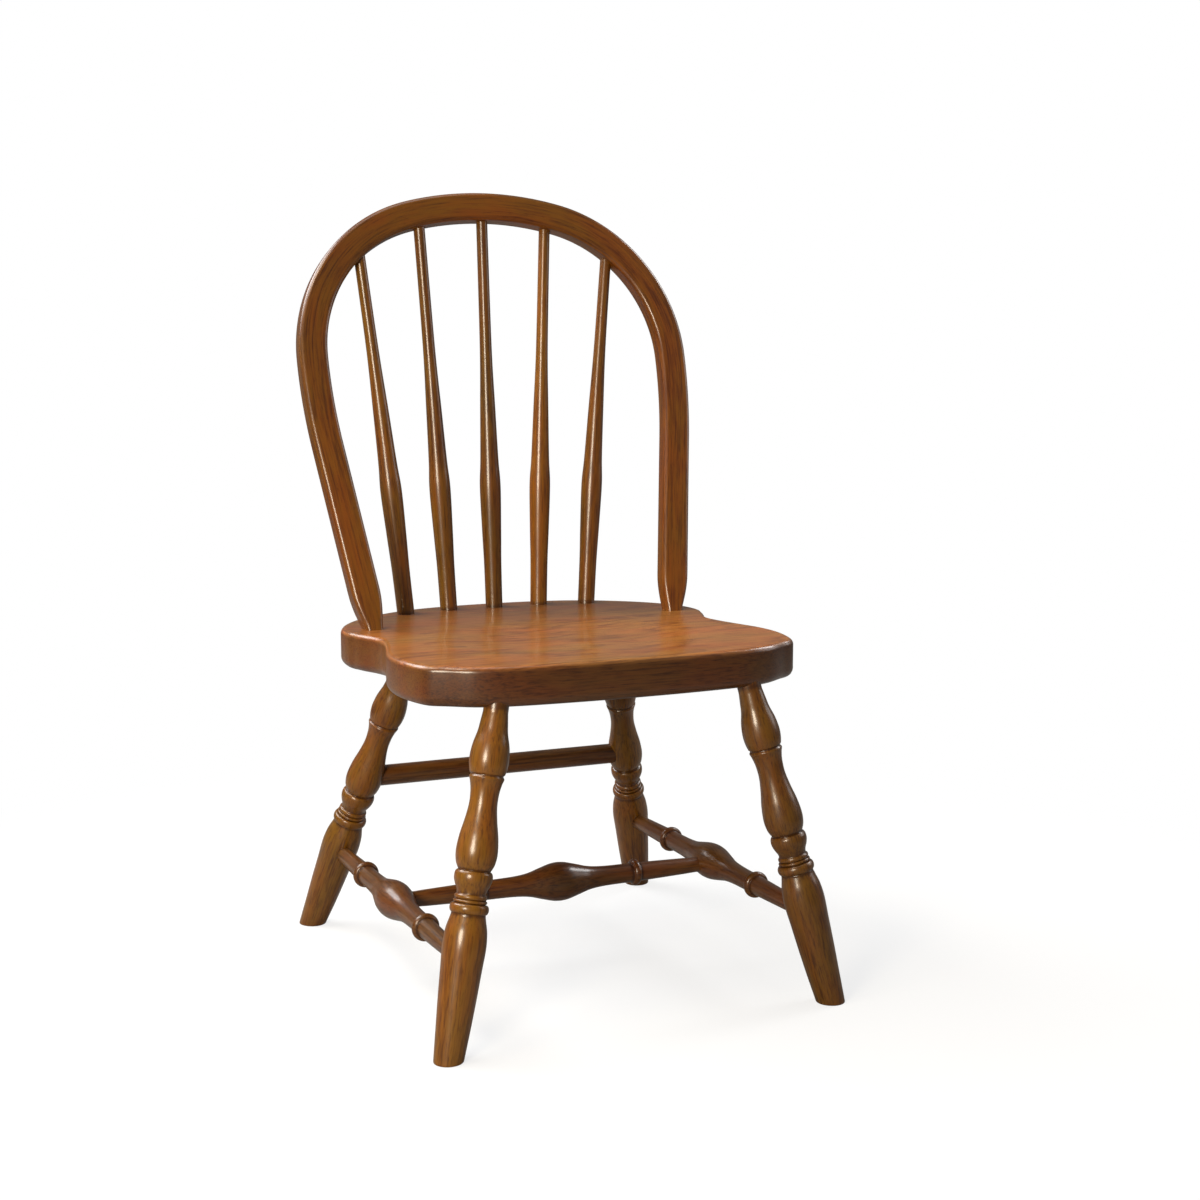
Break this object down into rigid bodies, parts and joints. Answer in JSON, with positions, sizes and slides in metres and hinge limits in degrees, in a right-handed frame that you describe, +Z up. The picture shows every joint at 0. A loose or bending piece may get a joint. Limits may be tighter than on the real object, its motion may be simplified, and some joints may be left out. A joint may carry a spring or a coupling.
{
  "type": "child's windsor chair",
  "caption": "Child-size bow-back Windsor chair: bent bow over turned spindles, saddled plank seat, splayed vase-turned legs, H-shaped stretchers and a plain rear rail.",
  "frame": {"origin": "on the floor, in the middle of the chair's bounding box, midway between its feet", "axes": "+X to the viewer's right when the viewer faces the chair's front, +Y from the seat's front edge to the back, +Z up"},
  "size_m": [0.3766, 0.4132, 0.6844],
  "materials": {
    "seat_wood": "satin lacquer over a warm brown stain",
    "bow_wood": "satin lacquer over a warm brown stain",
    "turned_wood": "satin lacquer over a warm brown stain"
  },
  "bodies": {
    "root": {"seat": "seat_wood", "bow": "bow_wood", "spindle_1": "turned_wood", "spindle_2": "turned_wood", "spindle_3": "turned_wood", "spindle_4": "turned_wood", "spindle_5": "turned_wood", "leg_front_left": "turned_wood", "leg_front_right": "turned_wood", "leg_rear_left": "turned_wood", "leg_rear_right": "turned_wood", "side_stretcher_left": "turned_wood", "side_stretcher_right": "turned_wood", "centre_stretcher": "turned_wood", "rear_stretcher": "turned_wood"}
  },
  "joints": []
}
